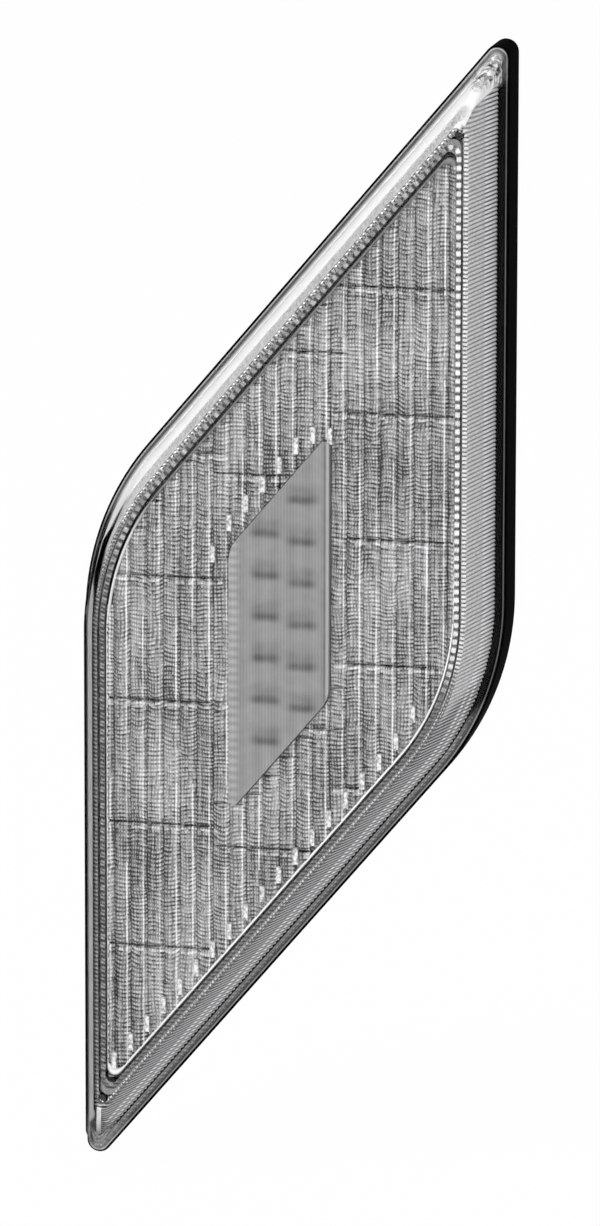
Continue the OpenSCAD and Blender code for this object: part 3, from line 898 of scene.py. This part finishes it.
def make_bezel():
    """The bezel: ribbed slope, body behind it, corners, the painted light in the cover's wall, and beads."""
    s = sizes()
    strip, floor = strip_height(), floor_height()
    foot = wall_inside() + 0.2
    slope = leaning(foot, s.rim, s.bezel_lean, strip, 0.5, 3)
    (i0, h0), (i1, h1) = slope[:2]
    part_up = 0.42
    rings = []
    for i, h in [slope[0], (i0 + (i1 - i0) * part_up, h0 + (h1 - h0) * part_up)] + slope[1:]:
        share = (i - foot) / (s.strip_inset - foot)
        corner = LEAST_TIP + (s.corner_radius - LEAST_TIP) * share
        rings.append([fitted(x, y, h) for x, y in ring(i, s.strip_shift * share, corner)])
    front = skin(rings)
    face_outwards(front)
    ribbed(front, s.rib_pitch, rib_depth)
    piece("bezel_ribs", front, bezel_metal("bezel_ribbed_metal"), smooth=False)
    inner = s.strip_inset + s.strip_width
    below = strip - 0.25
    back = [(s.strip_inset + 0.45, below), (inner, below), (inner, floor), (inner - 0.6, floor)]
    back += [(foot + 1.5, s.rim), (foot + 0.8, s.rim)]
    body = swept(back, closed_profile=True, outline=lambda i: inner_ring(i, s.strip_shift))
    piece("bezel_back", body, bright_metal("bezel_back_metal", grey(0.35)), replaces="bezel")
    make_corners(foot, strip)
    make_cover_light(strip)
    look = bead_metal("bezel_beads_metal", 0.10, 0.9, s.width / 2 - inner, 1.0)
    strip_of_beads("bezel_beads", s.strip_inset, s.bead_pitch, 0.32, s.strip_shift, look)


def make_corners(foot, strip):
    """The pointed corners: a bright mitre bar and a dimple painted dark as shade in each."""
    s = sizes()
    bars = bmesh.new()
    dimples = bmesh.new()
    for turn in (1, -1):
        high = tip_of(inner_ring(s.strip_inset + 0.2, s.strip_shift), strip + 0.1)
        low = tip_of(ring(foot + 0.6), s.rim + 5.5)
        along = (low - high).normalized()
        side = along.cross(Vector((0, -1, 0))).normalized()
        out = side.cross(along)
        made = bmesh.ops.create_cube(bars, size=1.0)["verts"]
        for v in made:
            share = v.co.z + 0.5
            place = high.lerp(low, share) + side * v.co.x * 1.1 * MM + out * (v.co.y * 0.5 + 0.35) * MM
            v.co = place if turn > 0 else Vector((-place.x, place.y, -place.z))
        spot = tip_of(inner_ring(s.strip_inset + 0.95, s.strip_shift), strip - 0.1)
        disc = bmesh.ops.create_cone(
            dimples, cap_ends=True, segments=20, radius1=1.25 * MM, radius2=1.05 * MM, depth=0.35 * MM
        )["verts"]
        for v in disc:
            x, y, z = v.co
            v.co = Vector((spot.x * turn + x, spot.y - z, spot.z * turn + y))
    edge = {"offset": 0.12 * MM, "offset_type": "OFFSET", "segments": 2, "profile": 0.5}
    bmesh.ops.bevel(bars, geom=bars.edges[:], affect="EDGES", material=-1, **edge)
    bmesh.ops.recalc_face_normals(bars, faces=bars.faces)
    bmesh.ops.recalc_face_normals(dimples, faces=dimples.faces)
    fronts = [f for f in dimples.faces if f.normal.y < -0.9]
    bmesh.ops.inset_individual(dimples, faces=fronts, thickness=0.3 * MM, depth=-0.25 * MM)
    piece("mitre_bars", bars, tab_metal("mitre_metal", 0.8), smooth=False)
    # painted shade: the dimples are painted near-black
    piece("corner_dimples", dimples, bright_metal("dimple_metal", grey(0.05)))


def make_cover_light(strip):
    """Thin skins inside the cover's side wall and flange, which show painted light and painted reflections."""
    s = sizes()
    side = leaning(1.7, s.rim + 1.0, COVER_LEAN, strip + 1.1, 1.3, 6)
    sheen = skin(rings_through(side))
    face_outwards(sheen)
    piece("cover_wall_painted_light", sheen, wall_sheen())
    flange = skin(rings_through([(i, s.rim + 0.45) for i in (0.42, 0.85, 0.95, 1.5, 2.42)]))
    made = piece("cover_foot_painted_light", flange, foot_light())
    made.data.uv_layers[0].name = "run"


def strip_of_beads(name, inset, pitch, rise, ends, look):
    """A flat strip along the outline with a crowned bead for each pitch, and a map that counts them."""
    half = sizes().strip_width / 2
    foot = strip_height() - 0.15
    points_each = 4
    run = paced(inner_ring(inset + half, ends), pitch / points_each)
    rings = []
    for side, crown in ((1, 0.0), (0.55, 0.8), (0, 1.0), (-0.55, 0.8), (-1, 0.0)):
        points = []
        for i, (p, across) in enumerate(run):
            lift = rise * crown * (0.0, 0.75, 1.0, 0.75)[i % points_each]
            x = p.x - across.x * half * side
            y = p.y - across.y * half * side
            points.append(fitted(x, y, foot + lift * 0.45))
        rings.append(points)
    bm = bmesh.new()
    pulled(bm, rings)
    uv = bm.loops.layers.uv.verify()
    for face in bm.faces:
        for loop in face.loops:
            loop[uv].uv.x *= len(run) / points_each
    bmesh.ops.recalc_face_normals(bm, faces=bm.faces)
    face_forwards(bm)
    made = piece(name, bm, look, crease=60)
    made.data.uv_layers[0].name = "run"


def edge_height(x, half_w, half_e, tip, bend, angle):
    """Height of a slanted outline's upper edge at x."""
    cos_e = math.cos(math.radians(angle))
    sin_e = math.sin(math.radians(angle))
    wide = (-(half_w - bend), ((half_e - bend) - (half_w - bend) * sin_e) / cos_e)
    point = (half_w - tip, ((half_e - tip) + (half_w - tip) * sin_e) / cos_e)
    if x < wide[0] - bend * sin_e:
        return wide[1] + math.sqrt(max(bend**2 - (x - wide[0]) ** 2, 0))
    if x > point[0] - tip * sin_e:
        return point[1] + math.sqrt(max(tip**2 - (x - point[0]) ** 2, 0))
    return (half_e + x * sin_e) / cos_e


def panel_edge(x):
    """Height of the fluted panel's upper edge at x."""
    s = sizes()
    inset = s.panel_inset
    return edge_height(
        x, s.width / 2 - inset, end_distance() - inset, s.corner_radius, s.bend_radius - inset, s.end_angle
    )


def window_end(half, tip):
    """Half distance between the window's two sloping ends."""
    s = sizes()
    lean = math.radians(s.end_angle)
    return (s.window_height / 2 - WINDOW_TIP) * math.cos(lean) - (half - tip) * math.sin(lean) + tip


def window_edge(x):
    """Height of the window's upper edge at x."""
    s = sizes()
    half = s.window_width / 2
    inside = max(-half, min(half - WINDOW_TIP, x))
    return edge_height(inside, half, window_end(half, WINDOW_TIP), WINDOW_TIP, WINDOW_BEND, s.end_angle)


def column_spans(x0, x1):
    """Spans of a column from its lower to its upper end, less the window, with the height of one cross step."""
    s = sizes()
    half = s.window_width / 2
    high = min(panel_edge(x0), panel_edge(x1)) - GAP
    low = GAP - min(panel_edge(-x0), panel_edge(-x1))
    if x1 < -half - GAP:
        return [(low, high, s.steps_left)]
    if x0 > half + GAP:
        return [(low, high, s.steps_right)]
    over = max(window_edge(x0), window_edge(x1)) + GAP
    under = -max(window_edge(-x0), window_edge(-x1)) - GAP
    return [(low, under, s.steps_middle), (over, high, s.steps_middle)]


def make_reflector():
    """The reflector: its floor, the groove and wall round the panel, the panel's rim and its flutes."""
    look = panel_metal()
    make_floor_plate(floor_height(), look)
    make_panel_edges(strip_height(), floor_height())
    make_flutes(floor_height(), look)


def make_panel_edges(strip, floor):
    """Groove painted dark as shade, wall, beaded squares and polished chamfer round the panel."""
    s = sizes()
    inner = s.panel_inset
    outer = inner - s.strip_width
    groove = [(inner, strip - 0.4), (inner + 0.3, floor + 0.1), (inner + 1.2, floor + 0.1)]
    trough = skin(rings_through(groove, inner_ring))
    # painted shade: the groove is painted near-black
    piece("panel_groove", trough, bright_metal("groove_metal", grey(0.05)), crease=20)
    top, foot = strip - 0.15, floor - 0.05
    section = [(outer, foot), (outer, top), (inner, top), (inner, foot)]
    wall = swept(section, closed_profile=True, outline=inner_ring)
    piece("reflector_wall", wall, bright_metal("wall_metal", grey(0.3)))
    look = bead_metal("reflector_squares_metal", 0.06, 0.97, s.width / 2 - inner, 0.15)
    strip_of_beads("reflector_squares", outer, s.row_pitch, 0.3, 0.3, look)
    crown = ((9.0, 0.2), (9.03, 0.75), (9.15, 1.0), (9.4, 0.95), (9.62, 0.7), (9.65, 0.1))
    chamfer = skin(rings_through([(i, floor + h) for i, h in crown], lambda i: inner_ring(i, 0.75)))
    face_forwards(chamfer)
    piece("panel_rim", chamfer, line_metal(), crease=70)


def make_flutes(floor, look):
    """Upright flutes cut by cross steps, with a tab at the lower end of most joints."""
    s = sizes()
    bm = bmesh.new()
    tabs = bmesh.new()
    ends = s.width / 2 - s.panel_inset - GAP
    count = math.ceil(ends / s.flute_pitch)
    radius = (s.flute_pitch**2 / 4 + s.flute_rise**2) / (2 * s.flute_rise)
    slit = 0.25
    for i in range(-count, count):
        x0 = max(i * s.flute_pitch, -ends)
        x1 = min((i + 1) * s.flute_pitch, ends)
        middle = (i + 0.5) * s.flute_pitch
        for low, high, shift in column_spans(x0, x1):
            first = math.ceil((low - shift) / s.step_pitch)
            last = math.floor((high - shift) / s.step_pitch)
            steps = [shift + k * s.step_pitch for k in range(first, last + 1)]
            marks = [low - GAP] + steps + [high + GAP]
            for a, b in zip(marks, marks[1:]):
                if b - a > 2.4:
                    pillows(bm, middle, x0, x1, a + slit, b - slit, floor + 0.15, radius)
            if -ends < x0 < ends - 8:
                end_tab(tabs, x0, low + 0.9, floor + 0.7)
    piece("reflector_pillows", bm, look, smooth=True)
    piece("flute_tabs", tabs, tab_metal("flute_tab_metal", 0.35), smooth=False)


def make_floor_plate(floor, look):
    """The reflector's floor, filled between the outline and the window's opening, then given its thickness."""
    s = sizes()
    bm = bmesh.new()
    room = 0.2
    half = s.window_width / 2 + room
    tip = WINDOW_TIP + room
    window = slanted(half, window_end(half, tip), tip, WINDOW_BEND + room, s.end_angle)
    loops = []
    for points in (ring(s.strip_inset + 0.5), window):
        verts = [bm.verts.new(fitted(x, y, floor)) for x, y in points]
        loops += [bm.edges.new((verts[i], verts[(i + 1) % len(verts)])) for i in range(len(verts))]
    bmesh.ops.triangle_fill(bm, edges=loops, use_beauty=True, normal=(0, -1, 0))
    grown = bmesh.ops.extrude_face_region(bm, geom=bm.faces[:])["geom"]
    moved = [v for v in grown if isinstance(v, bmesh.types.BMVert)]
    thickness = 1.4
    bmesh.ops.translate(bm, verts=moved, vec=(0, thickness * MM, 0))
    bmesh.ops.recalc_face_normals(bm, faces=bm.faces)
    piece("reflector_floor", bm, look, smooth=False, replaces="reflector")


def end_tab(bm, x, y, height):
    """A short proud tab on a joint between two flutes, hollowed on its face."""
    made = bmesh.ops.create_cube(bm, size=1.0)["verts"]
    for v in made:
        v.co = fitted(x + v.co.x * 1.2, y + v.co.z * 3.9, height - v.co.y * 1.5)
    faces = {f for v in made for f in v.link_faces if all(w in made for w in f.verts)}
    face = min(faces, key=lambda f: f.calc_center_median().y)
    bmesh.ops.inset_individual(bm, faces=[face], thickness=0.3 * MM, depth=-0.35 * MM)


def tab_metal(name, low):
    """Bright tabs and bars: polished, with shaded flow marks."""
    f = Finish(name, Metallic=0.2)
    here = f.where()
    grain = f.noise(here, 1.2, 2.0)
    f.feed("Base Color", f.mix(grain.ramp(0.30, 0.62), grey(low), grey(0.94)))
    f.feed("Roughness", 0.08 + grain * 0.12)
    return f.material


def pillows(bm, middle, x0, x1, low, high, foot, radius):
    """One stretch of a flute, with a shallow pillow for each row, drawn from a flat grid."""
    s = sizes()
    rows = max(1, round((high - low) / s.row_pitch))
    across = 5 if x1 - x0 > 2 else 2
    grid = bmesh.ops.create_grid(bm, x_segments=across, y_segments=rows * 3, size=0.5)
    for v in grid["verts"]:
        x = x0 + (v.co.x + 0.5) * (x1 - x0)
        t = v.co.y + 0.5
        y = low + t * (high - low)
        up = (t * rows) % 1.0
        arch = math.sqrt(radius**2 - (x - middle) ** 2) - radius + s.flute_rise
        v.co = fitted(x, y, foot + arch + 0.12 * math.sin(math.pi * up))


class LampSizes(bpy.types.PropertyGroup):
    """Sizes that a user may change, as in the lamp's solid model."""

    width: FloatProperty(
        name="Width", description="Over the upright sides", default=HOUSING[1][0] - HOUSING[0][0], unit="LENGTH"
    )
    height: FloatProperty(
        name="Height", description="Over the two points", default=HOUSING[1][2] - HOUSING[0][2], unit="LENGTH"
    )
    end_angle: FloatProperty(
        name="End angle", description="Of the sloping ends", default=math.radians(50.1), subtype="ANGLE"
    )
    tip_radius: FloatProperty(
        name="Tip radius", description="Of the pointed corners", default=3 * MM, unit="LENGTH"
    )
    bend_radius: FloatProperty(
        name="Bend radius", description="Of the wide corners", default=66 * MM, unit="LENGTH"
    )
    rim: FloatProperty(name="Rim", description="Depth of the side wall", default=11.4 * MM, unit="LENGTH")
    cover_rise: FloatProperty(name="Cover rise", description="Over the rim", default=19 * MM, unit="LENGTH")
    cover_wall: FloatProperty(
        name="Cover wall", description="Thickness of the cover", default=1.6 * MM, unit="LENGTH"
    )
    rib_pitch: FloatProperty(name="Rib pitch", description="Height of one rib", default=1 * MM, unit="LENGTH")
    strip_inset: FloatProperty(
        name="Strip inset", description="Outline to beaded strip", default=6.1 * MM, unit="LENGTH"
    )
    strip_width: FloatProperty(
        name="Strip width", description="Of a beaded strip", default=1.1 * MM, unit="LENGTH"
    )
    panel_inset: FloatProperty(
        name="Panel inset", description="Outline to fluted panel", default=8.9 * MM, unit="LENGTH"
    )
    flute_pitch: FloatProperty(
        name="Flute pitch", description="Width of one flute", default=24.1 / 6 * MM, unit="LENGTH"
    )
    step_pitch: FloatProperty(
        name="Step pitch", description="Between cross steps", default=30 * MM, unit="LENGTH"
    )
    window_width: FloatProperty(
        name="Window width", description="Over its sides", default=24.1 * MM, unit="LENGTH"
    )
    window_height: FloatProperty(
        name="Window height", description="Over its points", default=88.5 * MM, unit="LENGTH"
    )


class LampColours(bpy.types.PropertyGroup):
    """Colours that a user may change."""

    housing: FloatVectorProperty(
        name="Housing", description="Black of the tray", subtype="COLOR", default=(0.0025, 0.0025, 0.0026)
    )
    bright: FloatVectorProperty(
        name="Bright parts", description="Metallised plastic", subtype="COLOR", default=(0.62, 0.63, 0.64)
    )
    brass: FloatVectorProperty(
        name="Brass", description="Turned inserts", subtype="COLOR", default=(0.72, 0.5, 0.2)
    )
    blade: FloatVectorProperty(
        name="Tin", description="Tinned blades and plated screws", subtype="COLOR", default=(0.6, 0.6, 0.58)
    )


class LAMP_OT_stage(bpy.types.Operator):
    """Adds the floor, the light and the camera"""

    bl_idname = "lamp.stage"
    bl_label = "Studio"

    def execute(self, context):
        make_floor()
        make_light()
        make_camera()
        return {"FINISHED"}


def make_floor():
    """A pale floor that shows as pure white, yet takes the lamp's shadow a little."""
    bm = bmesh.new()
    bmesh.ops.create_grid(bm, x_segments=2, y_segments=2, size=6.0)
    bmesh.ops.translate(bm, verts=bm.verts, vec=(0, 0, CAD_BOX[0][2] - 0.0005))
    mesh = bpy.data.meshes.new("studio_floor")
    bm.to_mesh(mesh)
    bm.free()
    floor = bpy.data.objects.new("studio_floor", mesh)
    bpy.context.collection.objects.link(floor)
    look = Finish("pale_floor", Roughness=0.9)
    look.feed("Base Color", look.mix(look.noise(look.where(), 0.004), grey(0.93), grey(0.96)))
    seen = look.node("ShaderNodeLightPath", out="Is Camera Ray")
    seen = seen + look.node("ShaderNodeLightPath", out="Is Glossy Ray")
    seen = (seen + look.node("ShaderNodeLightPath", out="Is Transmission Ray")).held()
    glow = look.node("ShaderNodeEmission", None, {"Color": (1, 1, 1, 1), "Strength": 1.0})
    out = look.tree.nodes["Material Output"]
    mixed = look.node(
        "ShaderNodeMixShader", None, {0: seen * 0.98, 1: Link(look, look.shader.outputs[0]), 2: glow}
    )
    look.tree.links.new(mixed.socket, out.inputs["Surface"])
    mesh.materials.append(look.material)


def make_light():
    """A white world where the camera sees it, a grey one for its light, and two soft lamps."""
    scene = bpy.context.scene
    scene.view_settings.view_transform = "Standard"
    scene.world = bpy.data.worlds.new("studio_world")
    scene.world.use_nodes = True
    tree = scene.world.node_tree
    path = tree.nodes.new("ShaderNodeLightPath")
    seen = path.outputs["Is Camera Ray"]
    for kind in ("Is Glossy Ray", "Is Transmission Ray"):
        either = tree.nodes.new("ShaderNodeMath")
        either.operation = "MAXIMUM"
        tree.links.new(seen, either.inputs[0])
        tree.links.new(path.outputs[kind], either.inputs[1])
        seen = either.outputs[0]
    mix = tree.nodes.new("ShaderNodeMix")
    mix.data_type = "RGBA"
    mix.inputs[6].default_value = (0.5, 0.5, 0.51, 1)
    mix.inputs[7].default_value = (1, 1, 1, 1)
    tree.links.new(seen, mix.inputs[0])
    tree.links.new(mix.outputs[2], tree.nodes["Background"].inputs["Color"])
    for name, at, size, power in (
        ("key_light", (-0.7, -0.9, 1.1), 0.7, 9.5),
        ("fill_light", (0.9, -1.2, 0.4), 0.9, 2.0),
    ):
        lamp = bpy.data.lights.new(name, "AREA")
        lamp.size = size
        lamp.energy = power
        made = bpy.data.objects.new(name, lamp)
        made.location = at
        made.rotation_euler = (-Vector(at)).to_track_quat("-Z", "Y").to_euler()
        bpy.context.collection.objects.link(made)


def make_camera():
    """Camera at the photograph's angle, fitted to the lamp's outline."""
    azimuth, elevation, roll = (math.radians(turn) for turn in (13.166, 13.04, 0.104))
    distance = 2.1339
    shift_right, shift_up = 0.00081, 0.00293
    focal_pixels, photo_height, sensor = 9008.4, 1226, 36
    level = math.cos(elevation)
    away = Vector((math.sin(azimuth) * level, -math.cos(azimuth) * level, math.sin(elevation)))
    right = Vector((math.cos(azimuth), math.sin(azimuth), 0))
    up = away.cross(right)
    rolled_right = right * math.cos(roll) + up * math.sin(roll)
    rolled_up = up * math.cos(roll) - right * math.sin(roll)
    aim = Vector((0, -0.0024, 0)) - rolled_right * shift_right - rolled_up * shift_up
    lens = bpy.data.cameras.new("camera")
    lens.sensor_width = sensor
    lens.lens = focal_pixels / photo_height * sensor
    lens.clip_end = 50
    made = bpy.data.objects.new("camera", lens)
    made.location = aim + away * distance
    bpy.context.collection.objects.link(made)
    made.rotation_euler = Matrix((rolled_right, rolled_up, away)).transposed().to_euler()
    bpy.context.scene.camera = made


class LAMP_OT_cover(bpy.types.Operator):
    """Builds the clear cover"""

    bl_idname = "lamp.cover"
    bl_label = "Clear cover"

    def execute(self, context):
        make_cover()
        return {"FINISHED"}


class LAMP_OT_bezel(bpy.types.Operator):
    """Builds the ribbed bezel"""

    bl_idname = "lamp.bezel"
    bl_label = "Bezel"

    def execute(self, context):
        make_bezel()
        return {"FINISHED"}


class LAMP_OT_reflector(bpy.types.Operator):
    """Builds the pillowed reflector"""

    bl_idname = "lamp.reflector"
    bl_label = "Reflector"

    def execute(self, context):
        make_reflector()
        return {"FINISHED"}


class LAMP_OT_inside(bpy.types.Operator):
    """Gives the carried-over parts their finishes"""

    bl_idname = "lamp.inside"
    bl_label = "Housing and inner parts"

    def execute(self, context):
        tray = colours()
        dress("window_diffuser", window_frost())
        dress("rear_housing", moulded_black("housing_plastic", tray.housing))
        dress("vent_cap", moulded_black("vent_cap_plastic", times(tray.housing, 2), 1.4, 0.42))
        dress("mounting_gasket", foam())
        dress("cover_seal", bead_of_sealant())
        dress("vent_membrane", film())
        dress("cup_block", bright_metal("cup_metal", tray.bright, 1.5, 0.12))
        return {"FINISHED"}


class LAMP_OT_electrics(bpy.types.Operator):
    """Gives the board, its parts and the metal fittings their finishes"""

    bl_idname = "lamp.electrics"
    bl_label = "Board and fittings"

    def execute(self, context):
        colour = colours()
        dress("circuit_board", white_board())
        dress("driver_chip", moulded_package("package_epoxy", 0))
        dress("surge_diode", moulded_package("surge_diode_epoxy", 2))
        dress("resistor_", moulded_package("resistor_glaze", 2))
        dress("led_", diode_dome())
        dress("blade_", turned("blade_tin", colour.blade, 1))
        dress("insert_", turned("insert_turned_brass", colour.brass, 1, 0.22))
        dress("board_screws", turned("screw_zinc", colour.blade, 1, 0.3))
        return {"FINISHED"}


class LAMP_PT_sidebar(bpy.types.Panel):
    """Lists the lamp's pieces"""

    bl_idname = "LAMP_PT_sidebar"
    bl_label = "Indicator lamp"
    bl_space_type = "VIEW_3D"
    bl_region_type = "UI"
    bl_category = "Lamp"

    def draw(self, context):
        for kind in OPERATORS:
            self.layout.operator(kind.bl_idname)


GROUPS = (LampSizes, LampColours)
OPERATORS = (LAMP_OT_stage, LAMP_OT_cover, LAMP_OT_bezel, LAMP_OT_reflector, LAMP_OT_inside, LAMP_OT_electrics)


def register():
    for kind in GROUPS + OPERATORS + (LAMP_PT_sidebar,):
        bpy.utils.register_class(kind)
    bpy.types.Scene.lamp_sizes = bpy.props.PointerProperty(type=LampSizes)
    bpy.types.Scene.lamp_colours = bpy.props.PointerProperty(type=LampColours)


def unregister():
    del bpy.types.Scene.lamp_colours
    del bpy.types.Scene.lamp_sizes
    for kind in reversed(GROUPS + OPERATORS + (LAMP_PT_sidebar,)):
        bpy.utils.unregister_class(kind)


def main():
    """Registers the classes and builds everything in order."""
    register()
    bpy.ops.lamp.stage()
    bpy.ops.lamp.cover()
    bpy.ops.lamp.bezel()
    bpy.ops.lamp.reflector()
    bpy.ops.lamp.inside()
    bpy.ops.lamp.electrics()


if __name__ == "__main__":
    main()
